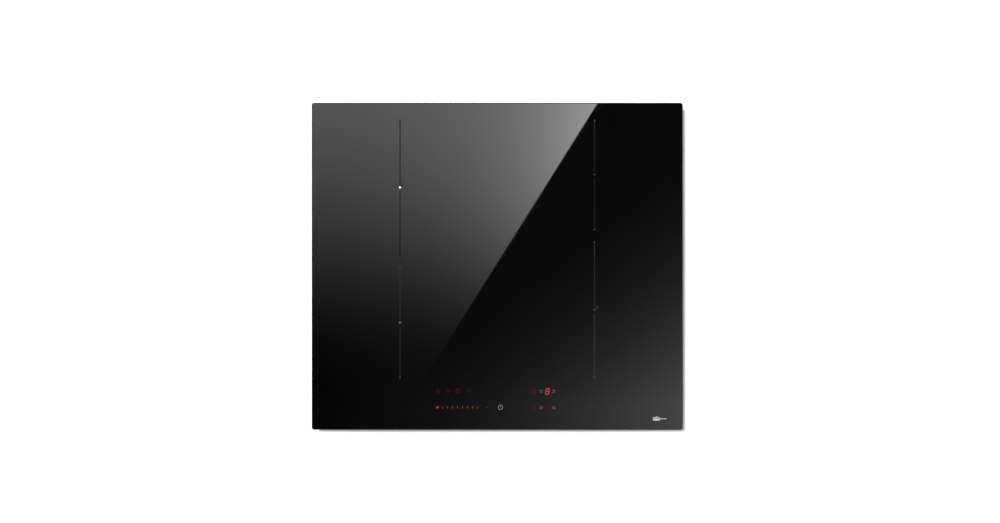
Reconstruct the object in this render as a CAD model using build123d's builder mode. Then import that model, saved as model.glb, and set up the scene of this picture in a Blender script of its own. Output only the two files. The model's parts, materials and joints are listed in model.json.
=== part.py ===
from build123d import *
import os
from math import sqrt

# A 60 cm built-in induction cooktop with four cooking zones, in millimetres.
# +X is the user's right, +Y is the back, +Z is up. The origin is on the tray's underside, in the middle.
# The tray stands on Z = 0, the cooking surface is at Z = TOTAL_H.

os.makedirs("parts", exist_ok=True)

# Overall
TOTAL_H = 56.0
GLASS_X, GLASS_Y, GLASS_T = 590.0, 520.0, 4.0
GLASS_CORNER_R, GLASS_BEVEL, GLASS_LOWER_BEVEL = 4.0, 1.2, 0.4
CUTOUT_X, CUTOUT_Y = 560.0, 490.0  # the hole in the worktop that the tray drops into
CUTOUT_GAP = 3.0  # between the cut-out and the tray, each side

# Seal, adhesive, frame and tray
SEAL_T, SEAL_W, SEAL_EDGE = 3.0, 10.0, 2.0
BEAD_T, BEAD_EDGE, BEAD_W, SHEET = 0.8, 1.0, 6.0, 1.0
TRAY_X, TRAY_Y = CUTOUT_X - 2 * CUTOUT_GAP, CUTOUT_Y - 2 * CUTOUT_GAP
TRAY_CORNER_R, TRAY_BEND_R = 6.0, 2.0
FRAME_FLANGE, FRAME_LEG, FRAME_SLIP = 8.0, 12.0, 0.2
GLASS_Z = TOTAL_H - GLASS_T
SEAL_Z = GLASS_Z - SEAL_T
FRAME_Z = GLASS_Z - BEAD_T - SHEET
TRAY_TOP = FRAME_Z - FRAME_SLIP

# Cooking zones: diameters, the columns' distance from the middle, and the rows' outer ends
LARGE_ZONE, SMALL_ZONE = 219.0, 179.0
ZONE_X, ZONES_BACK_Y, ZONES_FRONT_Y = 154.5, 235.0, -179.0
ZONES = {
    "left_rear": (-ZONE_X, ZONES_BACK_Y - LARGE_ZONE / 2, LARGE_ZONE / 2),
    "left_front": (-ZONE_X, ZONES_FRONT_Y + SMALL_ZONE / 2, SMALL_ZONE / 2),
    "right_rear": (ZONE_X, ZONES_BACK_Y - SMALL_ZONE / 2, SMALL_ZONE / 2),
    "right_front": (ZONE_X, ZONES_FRONT_Y + LARGE_ZONE / 2, LARGE_ZONE / 2),
}

# The stack from the support plate up to the glass
SUPPORT_Z, SPRING_H = 28.0, 8.0
SHIELD_Z = SUPPORT_Z + SHEET + SPRING_H
FORMER_Z, FORMER_T = SHIELD_Z + SHEET, 5.5
WINDING_Z = FORMER_Z + FORMER_T
WIRE_D, WIRE_PITCH, WINDING_BED = 3.4, 3.6, 1.2
RIM_H, RIM_W = 4.2, 2.0
MAT_Z, MAT_GAP = WINDING_Z + RIM_H, 0.3
MAT_T = GLASS_Z - MAT_GAP - MAT_Z
SHIELD_IN, FORMER_IN, WINDING_IN = 4.5, 6.5, 9.5  # inside the zone's edge
CORE_R, CORE_WINDING_R, SENSOR_R = 10.0, 24.0, 8.0
EAR_OUT, EAR_R = 7.0, 7.0
POST_R, POST_CLEAR, POST_OVER = 2.5, 0.3, 3.0
SPRING_R, SPRING_WIRE_W, SPRING_WIRE_H, SPRING_TURNS = 4.6, 1.4, 0.8, 3
FERRITE_T, FERRITE_W, FERRITES = 4.0, 11.0, 8
FERRITE_START, FERRITE_END_IN, FERRITE_SLIP = 28.0, 14.0, 0.3

# Screws: the hole's play around the shank, and the cross recess in the head
HOLE_PLAY, FREE_HOLE_PLAY = 0.05, 0.15
SCREW_R, SCREW_HEAD_R, SCREW_HEAD_H = 1.5, 3.0, 1.5
RECESS_L, RECESS_W, RECESS_DEPTH = 3.4, 0.9, 0.9
CASE_SCREW_Z, CASE_SCREW_R, CASE_SCREW_L = 44.0, 1.6, 6.0
SIDE_SCREWS_Y, END_SCREWS_X = (-200.0, -60.0, 60.0, 200.0), (-200.0, 0.0, 200.0)

# Electronics on the tray's floor
BOARD_Z, BOARD_T = 6.0, 1.6
BOARD_TOP = BOARD_Z + BOARD_T
POWER_BOARD_X, POWER_BOARD_Y, POWER_BOARD_AT = 190.0, 250.0, (165.0, -10.0)
FILTER_BOARD_X, FILTER_BOARD_Y, FILTER_BOARD_AT = 116.0, 106.0, (0.0, 165.0)
BOSS_R, BOARD_SCREW_DEPTH = 3.5, 3.6
HOLE_IN = 6.0  # a board's holes from its edges
SINK_L, SINK_W, SINK_H, SINK_BASE, SINK_FIN = 84.0, 98.0, 17.0, 3.0, 1.6
SINK_FINS, SINK_AT = 13, (112.0, -20.0)

# Fan
FAN_X, FAN_Y, FAN_SIDE, FAN_Z, FAN_H, FAN_WALL = 0.0, -20.0, 116.0, SHEET, 24.0, 1.5
FAN_BORE_R, INTAKE_R, OUTLET_W = 50.0, 32.0, 78.0
WHEEL_R, WHEEL_Z, WHEEL_H, BLADES = 44.0, 5.0, 15.0, 28
TAB_X, TAB_REACH, TAB_T, TAB_SCREW_IN = 14.0, 11.0, 2.0, 5.5
RIB_H, RIB_W, RIBS_ON_TOP, RIB_RINGS = 1.2, 1.6, 8, (24.0, 46.0)
FAN_TABS = [(FAN_X + i * 44.0, FAN_Y + j * FAN_SIDE / 2, j) for i in (-1, 1) for j in (-1, 1)]
CUP_R, CUP_WALL, STATOR_GAP, SHAFT_R, SHAFT_CLEAR = 17.0, 2.5, 1.0, 1.5, 0.05

# Touch controls, at the front
KEY_ROW_BACK_Y, KEY_ROW_FRONT_Y = -199.2, -225.0
MODE_KEYS_X = (-94.0, -78.3, -62.8, -45.3)
SLIDER_START_X, SLIDER_PITCH, SLIDER_KEYS = -87.1, 8.0, 8
POWER_KEY_X, ZONE_KEYS_X, DIGITS_X = 5.1, (70.5, 90.1), (58.7, 80.3)
CARRIER_X, CARRIER_Y, CARRIER_FRONT_Y = 236.0, 47.0, -233.4
CARRIER_Z, CARRIER_WALL, CARRIER_TOP = 42.0, 1.5, 51.6
TOUCH_BOARD_Z, PAD_R, DIGIT_X, DIGIT_Y, DIGIT_H = 44.5, 3.6, 10.0, 13.0, 5.0
CARRIER_Y_MID = CARRIER_FRONT_Y + CARRIER_Y / 2
STUD_IN, STUD_R, CARRIER_LEG_X, CARRIER_LEG_Y = 8.0, 3.0, 10.0, 22.0

# Mains terminal box, at the right rear
BOX_X, BOX_Y, BOX_H, BOX_WALL, BOX_AT = 94.0, 56.0, 24.0, 2.0, (215.0, 212.0)
PORT_X, PORT_Y = 84.0, 46.0  # the opening in the tray's floor under the box
COVER_T, COVER_Z, COVER_SIDE_GAP = 1.6, 0.4, 2.0
LATCH_PITCH, LATCH_X, LATCH_Y, LATCH_H = 50.0, 10.0, 2.2, 3.0
HINGE_R, HINGE_PIN_R, HINGE_Z, HINGE_CLEAR, EAR_X = 1.6, 1.0, 2.4, 0.05, 4.7
HINGE_EAR_Y, HINGE_EAR_Z, HINGE_EAR_H, PIN_REACH = 6.4, 3.0, 4.0, 3.5
HINGE_Y = BOX_AT[1] - PORT_Y / 2 + 3.0
INLET_X, INLET_Z, INLET_R, GROMMET_R, GROMMET_FLANGE_R = 195.0, 12.2, 6.0, 8.4, 10.3
GROMMET_PLAY, GROMMET_FLANGE_T, GROMMET_LIP_T = 0.2, 2.8, 2.2

# Springs that hold the tray in the cut-out
CLIP_Y, CLIP_W, CLIP_T = (-150.0, 150.0), 30.0, 0.6
CLIP_ROOT_Z, CLIP_BASE_Z, CLIP_CREST, CLIP_TIP = 10.0, 2.5, (5.4, 30.0), (4.2, 37.0)
CLIP_SCREW_Z, CLIP_ROOT_GAP = 6.0, 0.3
SIDES = {"left": -1, "right": 1}


def save(piece, name):
    piece.part.label = name
    export_step(piece.part, f"parts/{name}.step")


def board_holes(size_x, size_y, at):
    """The four corner holes of a circuit board."""
    x, y = size_x / 2 - HOLE_IN, size_y / 2 - HOLE_IN
    return [(at[0] + i * x, at[1] + j * y) for i in (-1, 1) for j in (-1, 1)]


POWER_BOARDS = {side: (sign * POWER_BOARD_AT[0], POWER_BOARD_AT[1]) for side, sign in SIDES.items()}
BOARD_SCREWS = board_holes(FILTER_BOARD_X, FILTER_BOARD_Y, FILTER_BOARD_AT)
for place in POWER_BOARDS.values():
    BOARD_SCREWS += board_holes(POWER_BOARD_X, POWER_BOARD_Y, place)
FAN_SCREWS = [(x, y + j * TAB_SCREW_IN) for x, y, j in FAN_TABS]


def cross():
    """The outline of a cross recess in a screw's head."""
    Rectangle(RECESS_L, RECESS_W)
    Rectangle(RECESS_W, RECESS_L)


# Glass, seal, adhesive and frame

with BuildPart() as glass:
    with BuildSketch(Plane.XY.offset(GLASS_Z)):
        RectangleRounded(GLASS_X, GLASS_Y, GLASS_CORNER_R)
    extrude(amount=GLASS_T)
    chamfer(glass.faces().sort_by(Axis.Z)[-1].edges(), GLASS_BEVEL)
    chamfer(glass.faces().sort_by(Axis.Z)[0].edges(), GLASS_LOWER_BEVEL)
save(glass, "glass_ceramic_plate")

with BuildPart() as seal:
    with BuildSketch(Plane.XY.offset(SEAL_Z)):
        RectangleRounded(GLASS_X - 2 * SEAL_EDGE, GLASS_Y - 2 * SEAL_EDGE, GLASS_CORNER_R)
        inner = SEAL_EDGE + SEAL_W
        RectangleRounded(GLASS_X - 2 * inner, GLASS_Y - 2 * inner, GLASS_CORNER_R, mode=Mode.SUBTRACT)
    extrude(amount=SEAL_T)
save(seal, "worktop_seal")

with BuildPart() as bead:
    with BuildSketch(Plane.XY.offset(GLASS_Z - BEAD_T)):
        RectangleRounded(TRAY_X - 2 * BEAD_EDGE, TRAY_Y - 2 * BEAD_EDGE, TRAY_CORNER_R)
        inner = BEAD_EDGE + BEAD_W
        RectangleRounded(TRAY_X - 2 * inner, TRAY_Y - 2 * inner, TRAY_CORNER_R, mode=Mode.SUBTRACT)
    extrude(amount=BEAD_T)
save(bead, "adhesive_bead")

LEG_X, LEG_Y = TRAY_X - 2 * (SHEET + FRAME_SLIP), TRAY_Y - 2 * (SHEET + FRAME_SLIP)
with BuildPart() as frame:
    with BuildSketch(Plane.XY.offset(FRAME_Z)):
        RectangleRounded(TRAY_X, TRAY_Y, TRAY_CORNER_R)
        flange = 2 * FRAME_FLANGE
        RectangleRounded(TRAY_X - flange, TRAY_Y - flange, TRAY_CORNER_R / 2, mode=Mode.SUBTRACT)
    extrude(amount=SHEET)
    with BuildSketch(Plane.XY.offset(FRAME_Z - FRAME_LEG)):
        RectangleRounded(LEG_X, LEG_Y, TRAY_CORNER_R - SHEET)
        RectangleRounded(LEG_X - 2 * SHEET, LEG_Y - 2 * SHEET, TRAY_CORNER_R - 2 * SHEET, mode=Mode.SUBTRACT)
    extrude(amount=FRAME_LEG)
    with BuildSketch(Plane.YZ):
        with Locations([(y, CASE_SCREW_Z) for y in SIDE_SCREWS_Y]):
            Circle(CASE_SCREW_R + HOLE_PLAY)
    extrude(amount=GLASS_X, both=True, mode=Mode.SUBTRACT)
    with BuildSketch(Plane.XZ):
        with Locations([(x, CASE_SCREW_Z) for x in END_SCREWS_X]):
            Circle(CASE_SCREW_R + HOLE_PLAY)
    extrude(amount=GLASS_Y, both=True, mode=Mode.SUBTRACT)
save(frame, "glass_frame")


# Base tray: pressed sheet with air slots, stiffening ribs, board bosses and the terminal opening

RIBS = [(-165.0, 195.0), (-165.0, -155.0), (165.0, -155.0), (98.0, 210.0)]
RIB_X, RIB_Y, RIB_RISE = 120.0, 16.0, 1.5
VENT_W, VENT_H, VENT_PITCH, VENT_Z = 3.2, 20.0, 9.0, 22.0
INTAKE_SLOT_W, BACK_VENTS, BACK_VENTS_X, FRONT_VENTS = 3.8, 36, -60.0, 46
with BuildPart() as tray:
    with BuildSketch():
        RectangleRounded(TRAY_X, TRAY_Y, TRAY_CORNER_R)
    extrude(amount=TRAY_TOP)
    fillet(tray.faces().sort_by(Axis.Z)[0].edges(), TRAY_BEND_R)
    with BuildSketch(Plane.XY.offset(SHEET)):
        RectangleRounded(TRAY_X - 2 * SHEET, TRAY_Y - 2 * SHEET, TRAY_CORNER_R - SHEET)
    extrude(amount=TRAY_TOP, mode=Mode.SUBTRACT)
    fillet(tray.faces().filter_by(Plane.XY).sort_by(Axis.Z)[1].outer_wire().edges(), TRAY_BEND_R - SHEET)
    with BuildSketch():
        with Locations(RIBS):
            SlotOverall(RIB_X, RIB_Y)
    extrude(amount=SHEET + RIB_RISE)
    with BuildSketch():
        with Locations(RIBS):
            SlotOverall(RIB_X - 2 * SHEET, RIB_Y - 2 * SHEET)
    extrude(amount=RIB_RISE, mode=Mode.SUBTRACT)
    with BuildSketch(Plane.XY.offset(SHEET)):
        with Locations(BOARD_SCREWS):
            Circle(BOSS_R)
    extrude(amount=BOARD_Z - SHEET)
    with BuildSketch(Plane.XY.offset(SHEET)):
        with Locations(BOARD_SCREWS):
            Circle(SCREW_R + HOLE_PLAY)
    extrude(amount=BOARD_Z, mode=Mode.SUBTRACT)
    with BuildSketch():
        with Locations(FAN_SCREWS):
            Circle(SCREW_R + HOLE_PLAY)
    extrude(amount=SHEET, mode=Mode.SUBTRACT)
    # air slots: under the fan, and along the front and the back wall
    with BuildSketch():
        for i in range(-3, 4):
            with Locations((FAN_X + i * VENT_PITCH, FAN_Y)):
                SlotOverall(2 * sqrt(INTAKE_R**2 - (i * VENT_PITCH) ** 2), INTAKE_SLOT_W, rotation=90)
    extrude(amount=SHEET, mode=Mode.SUBTRACT)
    with BuildSketch(Plane.XZ.offset(-TRAY_Y / 2)):
        with Locations((BACK_VENTS_X, VENT_Z)):
            with GridLocations(VENT_PITCH, 1, BACK_VENTS, 1):
                SlotOverall(VENT_H, VENT_W, rotation=90)
    extrude(amount=2 * SHEET, mode=Mode.SUBTRACT)
    with BuildSketch(Plane.XZ.offset(TRAY_Y / 2)):
        with Locations((0, VENT_Z)):
            with GridLocations(VENT_PITCH, 1, FRONT_VENTS, 1):
                SlotOverall(VENT_H, VENT_W, rotation=90)
    extrude(amount=-2 * SHEET, mode=Mode.SUBTRACT)
    # terminal opening in the floor, and the cable hole in the back wall
    with BuildSketch():
        with Locations(BOX_AT):
            RectangleRounded(PORT_X, PORT_Y, 3)
    extrude(amount=SHEET, mode=Mode.SUBTRACT)
    with BuildSketch(Plane.XZ.offset(-TRAY_Y / 2)):
        with Locations((INLET_X, INLET_Z)):
            Circle(GROMMET_R + GROMMET_PLAY)
    extrude(amount=2 * SHEET, mode=Mode.SUBTRACT)
    # screw holes: the frame's, and the side springs'
    with BuildSketch(Plane.YZ):
        with Locations([(y, CASE_SCREW_Z) for y in SIDE_SCREWS_Y]):
            Circle(CASE_SCREW_R + FREE_HOLE_PLAY)
        with Locations([(y, CLIP_SCREW_Z) for y in CLIP_Y]):
            Circle(CASE_SCREW_R + HOLE_PLAY)
    extrude(amount=GLASS_X, both=True, mode=Mode.SUBTRACT)
    with BuildSketch(Plane.XZ):
        with Locations([(x, CASE_SCREW_Z) for x in END_SCREWS_X]):
            Circle(CASE_SCREW_R + FREE_HOLE_PLAY)
    extrude(amount=GLASS_Y, both=True, mode=Mode.SUBTRACT)
save(tray, "base_tray")

with BuildPart() as case_screws:
    for sign in (-1, 1):
        seats = [
            (Plane.YZ.offset(sign * TRAY_X / 2), [(y, CASE_SCREW_Z) for y in SIDE_SCREWS_Y], sign),
            (Plane.XZ.offset(sign * TRAY_Y / 2), [(x, CASE_SCREW_Z) for x in END_SCREWS_X], sign),
            (Plane.YZ.offset(sign * (TRAY_X / 2 + CLIP_T)), [(y, CLIP_SCREW_Z) for y in CLIP_Y], sign),
        ]
        for seat, places, out in seats:
            with BuildSketch(seat):
                with Locations(places):
                    Circle(SCREW_HEAD_R)
            extrude(amount=out * SCREW_HEAD_H)
            with BuildSketch(seat):
                with Locations(places):
                    Circle(CASE_SCREW_R)
            extrude(amount=-out * CASE_SCREW_L)
            with BuildSketch(seat.offset(out * SCREW_HEAD_H)):
                with Locations(places):
                    cross()
            extrude(amount=-out * RECESS_DEPTH, mode=Mode.SUBTRACT)
save(case_screws, "case_screws")


# Springs along the sides: a screwed base, and a leaf that leans out and gives way in the cut-out

with BuildPart() as clip_bases:
    for sign in (-1, 1):
        with BuildSketch(Plane.YZ.offset(sign * TRAY_X / 2)):
            for y in CLIP_Y:
                with Locations((y, (CLIP_BASE_Z + CLIP_ROOT_Z - CLIP_ROOT_GAP) / 2)):
                    RectangleRounded(CLIP_W, CLIP_ROOT_Z - CLIP_ROOT_GAP - CLIP_BASE_Z, 1.5)
            with Locations([(y, CLIP_SCREW_Z) for y in CLIP_Y]):
                Circle(CASE_SCREW_R + HOLE_PLAY, mode=Mode.SUBTRACT)
        extrude(amount=sign * CLIP_T)
save(clip_bases, "side_spring_bases")

for side, sign in SIDES.items():
    with BuildPart() as leaf:
        for y in CLIP_Y:
            wall = sign * (TRAY_X / 2 + 0.5)
            with BuildSketch(Plane(origin=(wall, y, 0), x_dir=(sign, 0, 0), z_dir=(0, -sign, 0))):
                with BuildLine():
                    FilletPolyline((CLIP_T / 2, CLIP_ROOT_Z), CLIP_CREST, CLIP_TIP, radius=6)
                trace(line_width=CLIP_T)
            extrude(amount=CLIP_W / 2, both=True)
    save(leaf, f"side_springs_{side}")


# Coil units: each is carried on a plate with four ears, guided by posts and pushed up by springs


def ear_places(x, y, radius):
    """The middles of a coil plate's four ears."""
    reach = (radius - SHIELD_IN + EAR_OUT) / sqrt(2)
    return [(x + i * reach, y + j * reach) for i in (-1, 1) for j in (-1, 1)]


EARS = {zone: ear_places(*place) for zone, place in ZONES.items()}

with BuildPart() as one_spring:
    with BuildLine() as coil:
        rise = SPRING_H - SPRING_WIRE_H - 0.4
        Helix(rise / SPRING_TURNS, rise, SPRING_R)
    with BuildSketch(Plane(origin=coil.line @ 0, x_dir=(1, 0, 0), z_dir=coil.line % 0)):
        Rectangle(SPRING_WIRE_W, SPRING_WIRE_H)
    sweep(is_frenet=True)

for zone, (x, y, radius) in ZONES.items():
    centre = Axis((x, y, 0), (0, 0, 1))
    section = Plane(origin=(x, y, 0), x_dir=(1, 0, 0), z_dir=(0, -1, 0))

    with BuildPart() as shield:
        with BuildSketch(Plane.XY.offset(SHIELD_Z)):
            with Locations((x, y)):
                Circle(radius - SHIELD_IN)
                with PolarLocations(radius - SHIELD_IN, 4, start_angle=45):
                    SlotOverall(2 * (EAR_OUT + EAR_R), 2 * EAR_R)
            with Locations(EARS[zone]):
                Circle(POST_R + POST_CLEAR, mode=Mode.SUBTRACT)
        extrude(amount=SHEET)
    save(shield, f"coil_plate_{zone}")

    ferrite_len = radius - FERRITE_END_IN - FERRITE_START
    ferrite_mid = FERRITE_START + ferrite_len / 2
    with BuildPart() as former:
        with BuildSketch(section):
            with BuildLine():
                outer = radius - FORMER_IN
                rim_in, core_out = outer - RIM_W, CORE_WINDING_R - 2
                top = WINDING_Z + RIM_H
                Polyline(
                    (CORE_R, FORMER_Z), (outer, FORMER_Z), (outer, top), (rim_in, top), (rim_in, WINDING_Z),
                    (core_out, WINDING_Z), (core_out, top), (CORE_R, top), close=True,
                )
            make_face()
        revolve(axis=centre)
        with BuildSketch(Plane.XY.offset(FORMER_Z)):
            with Locations((x, y)):
                with PolarLocations(ferrite_mid, FERRITES):
                    Rectangle(ferrite_len + 2 * FERRITE_SLIP, FERRITE_W + 2 * FERRITE_SLIP)
        extrude(amount=FERRITE_T + FERRITE_SLIP, mode=Mode.SUBTRACT)
    save(former, f"coil_former_{zone}")

    with BuildPart() as ferrites:
        with BuildSketch(Plane.XY.offset(FORMER_Z)):
            with Locations((x, y)):
                with PolarLocations(ferrite_mid, FERRITES):
                    RectangleRounded(ferrite_len, FERRITE_W, 1)
        extrude(amount=FERRITE_T)
    save(ferrites, f"ferrite_bars_{zone}")

    with BuildPart() as winding:
        turns = int((radius - WINDING_IN - CORE_WINDING_R) // WIRE_PITCH)
        first = CORE_WINDING_R + WIRE_PITCH / 2
        with BuildSketch(section):
            with Locations([(first + i * WIRE_PITCH, WINDING_Z + WIRE_D / 2 + 0.2) for i in range(turns)]):
                RegularPolygon(WIRE_D / 2, 6, rotation=30)
            with Locations((first + (turns - 1) * WIRE_PITCH / 2, WINDING_Z + 0.8)):
                Rectangle((turns - 1) * WIRE_PITCH + 2, WINDING_BED)
        revolve(axis=centre)
    save(winding, f"coil_winding_{zone}")

    with BuildPart() as mat:
        with BuildSketch(Plane.XY.offset(MAT_Z)):
            with Locations((x, y)):
                Circle(radius - FORMER_IN)
                Circle(CORE_R, mode=Mode.SUBTRACT)
        extrude(amount=MAT_T)
    save(mat, f"insulation_mat_{zone}")

    with BuildPart() as sensor:
        with BuildSketch(section):
            with BuildLine():
                flange, neck, tip = SENSOR_R + 1, SENSOR_R - 1.5, MAT_Z + MAT_T
                Polyline(
                    (0, FORMER_Z), (flange, FORMER_Z), (flange, FORMER_Z + 2), (SENSOR_R, FORMER_Z + 3),
                    (neck, MAT_Z), (neck, tip - 0.6), (neck - 0.6, tip), (0, tip), close=True,
                )
            make_face()
        revolve(axis=centre)
    save(sensor, f"heat_sensor_{zone}")

    with BuildPart() as springs:
        with Locations([(i, j, SUPPORT_Z + SHEET + SPRING_WIRE_H / 2 + 0.2) for i, j in EARS[zone]]):
            add(one_spring.part)
    save(springs, f"coil_springs_{zone}")

with BuildPart() as posts:
    with BuildSketch(Plane.XY.offset(SUPPORT_Z + SHEET)):
        with Locations([ear for zone in ZONES for ear in EARS[zone]]):
            Circle(POST_R)
    extrude(amount=SPRING_H + SHEET + POST_OVER)
    chamfer(posts.faces().filter_by(Plane.XY).group_by(Axis.Z)[-1].edges(), 0.8)
save(posts, "guide_posts")

# Support plates: a sheet on folded legs, one under each column of coils
SUPPORT_X0, SUPPORT_X1, SUPPORT_Y0, SUPPORT_Y1 = 56.0, 270.0, -182.0, 236.0
LEG_W, FOOT_L = 18.0, 8.0
SUPPORT_HOLE_R, SLOTS, SLOTS_AT, SLOT_L, SLOT_W = 16.0, 6, 0.6, 44.0, 14.0
LEGS = {"left": ((75, -1), (250, -1), (75, 1), (250, 1)), "right": ((75, -1), (250, -1), (75, 1), (150, 1))}
for side, sign in SIDES.items():
    with BuildPart() as support:
        with BuildSketch(Plane.XY.offset(SUPPORT_Z)):
            with Locations((sign * (SUPPORT_X0 + SUPPORT_X1) / 2, (SUPPORT_Y0 + SUPPORT_Y1) / 2)):
                RectangleRounded(SUPPORT_X1 - SUPPORT_X0, SUPPORT_Y1 - SUPPORT_Y0, 4)
            for zone, (x, y, radius) in ZONES.items():
                if zone.startswith(side):
                    with Locations((x, y)):
                        Circle(SUPPORT_HOLE_R, mode=Mode.SUBTRACT)
                        with PolarLocations(radius * SLOTS_AT, SLOTS, start_angle=30):
                            SlotOverall(SLOT_L, SLOT_W, rotation=90, mode=Mode.SUBTRACT)
        extrude(amount=SHEET)
        for leg_x, end in LEGS[side]:
            edge = SUPPORT_Y0 if end < 0 else SUPPORT_Y1
            with BuildSketch(Plane.XZ.offset(-edge)):
                with Locations((sign * leg_x, (SUPPORT_Z + SHEET * 2) / 2)):
                    Rectangle(LEG_W, SUPPORT_Z)
            extrude(amount=end * SHEET)
            with BuildSketch(Plane.XY.offset(SHEET)):
                with Locations((sign * leg_x, edge - end * FOOT_L / 2)):
                    Rectangle(LEG_W, FOOT_L)
            extrude(amount=SHEET)
    save(support, f"coil_support_{side}")


# Electronics

for side, place in POWER_BOARDS.items():
    with BuildPart() as board:
        with BuildSketch(Plane.XY.offset(BOARD_Z)):
            with Locations(place):
                RectangleRounded(POWER_BOARD_X, POWER_BOARD_Y, 2)
            with Locations(board_holes(POWER_BOARD_X, POWER_BOARD_Y, place)):
                Circle(SCREW_R + FREE_HOLE_PLAY, mode=Mode.SUBTRACT)
        extrude(amount=BOARD_T)
    save(board, f"power_board_{side}")

with BuildPart() as sinks:
    for sign in SIDES.values():
        with BuildSketch(Plane.YZ.offset(sign * SINK_AT[0] - SINK_L / 2)):
            with Locations((SINK_AT[1], BOARD_TOP + SINK_BASE / 2)):
                Rectangle(SINK_W, SINK_BASE)
            with Locations((SINK_AT[1], BOARD_TOP + SINK_H / 2)):
                with GridLocations((SINK_W - SINK_FIN) / (SINK_FINS - 1), 1, SINK_FINS, 1):
                    Rectangle(SINK_FIN, SINK_H)
        extrude(amount=SINK_L)
save(sinks, "heat_sinks")

TRANSISTORS_X, LEAD_PITCH, LEAD_H = (84.0, 103.0, 122.0, 141.0), 5.0, 3.0
TRANSISTOR_X, TRANSISTOR_Y, TRANSISTOR_H = 15.5, 4.6, 15.0
with BuildPart() as transistors:
    row_y = SINK_AT[1] + SINK_W / 2 + TRANSISTOR_Y / 2
    places = [(sign * x, row_y) for sign in (-1, 1) for x in TRANSISTORS_X]
    with BuildSketch(Plane.XY.offset(BOARD_TOP + LEAD_H)):
        with Locations(places):
            Rectangle(TRANSISTOR_X, TRANSISTOR_Y)
    extrude(amount=TRANSISTOR_H)
    with BuildSketch(Plane.XY.offset(BOARD_TOP)):
        for x, y in places:
            with Locations((x - LEAD_PITCH, y), (x, y), (x + LEAD_PITCH, y)):
                Rectangle(1.2, 0.7)
    extrude(amount=LEAD_H)
save(transistors, "power_transistors")

CAPACITORS_RIGHT = ((200.0, 70.0), (200.0, 40.0), (200.0, 10.0), (95.0, 80.0))
CAPACITOR_X, CAPACITOR_Y, CAPACITOR_H = 32.0, 18.0, 18.0
with BuildPart() as capacitors:
    with BuildSketch(Plane.XY.offset(BOARD_TOP)):
        with Locations([(sign * x, y) for sign in (-1, 1) for x, y in CAPACITORS_RIGHT]):
            RectangleRounded(CAPACITOR_X, CAPACITOR_Y, 1.5)
    extrude(amount=CAPACITOR_H)
    chamfer(capacitors.faces().filter_by(Plane.XY).group_by(Axis.Z)[-1].edges(), 1)
save(capacitors, "film_capacitors")

with BuildPart() as filter_board:
    with BuildSketch(Plane.XY.offset(BOARD_Z)):
        with Locations(FILTER_BOARD_AT):
            RectangleRounded(FILTER_BOARD_X, FILTER_BOARD_Y, 2)
        with Locations(board_holes(FILTER_BOARD_X, FILTER_BOARD_Y, FILTER_BOARD_AT)):
            Circle(SCREW_R + FREE_HOLE_PLAY, mode=Mode.SUBTRACT)
    extrude(amount=BOARD_T)
save(filter_board, "filter_board")

CHOKE_R, CHOKE_TUBE_R, CHOKE_BASE, CHOKE_BASE_T = 12.0, 6.5, 40.0, 2.0
CHOKES = [(-28.0, 185.0), (28.0, 185.0), (-205.0, -60.0), (205.0, -60.0)]
with BuildPart() as chokes:
    for x, y in CHOKES:
        with BuildSketch(Plane.XY.offset(BOARD_TOP)):
            with Locations((x, y)):
                RectangleRounded(CHOKE_BASE, CHOKE_BASE, 3)
        extrude(amount=CHOKE_BASE_T)
        with BuildSketch(Plane(origin=(x, y, 0), x_dir=(1, 0, 0), z_dir=(0, -1, 0))):
            with Locations((CHOKE_R, BOARD_TOP + 1.5 + CHOKE_TUBE_R)):
                Circle(CHOKE_TUBE_R)
        revolve(axis=Axis((x, y, 0), (0, 0, 1)))
save(chokes, "filter_chokes")

with BuildPart() as board_screws:
    for seat_z, depth, places in (
        (BOARD_TOP, BOARD_SCREW_DEPTH, BOARD_SCREWS),
        (FAN_Z + TAB_T, TAB_T + SHEET / 2, FAN_SCREWS),
    ):
        with BuildSketch(Plane.XY.offset(seat_z)):
            with Locations(places):
                Circle(SCREW_HEAD_R)
        extrude(amount=SCREW_HEAD_H)
        with BuildSketch(Plane.XY.offset(seat_z)):
            with Locations(places):
                Circle(SCREW_R)
        extrude(amount=-depth)
        with BuildSketch(Plane.XY.offset(seat_z + SCREW_HEAD_H)):
            with Locations(places):
                cross()
        extrude(amount=-RECESS_DEPTH, mode=Mode.SUBTRACT)
save(board_screws, "board_screws")


# Fan: a housing open to the left and the right, a motor under its top plate, and a radial wheel

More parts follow.
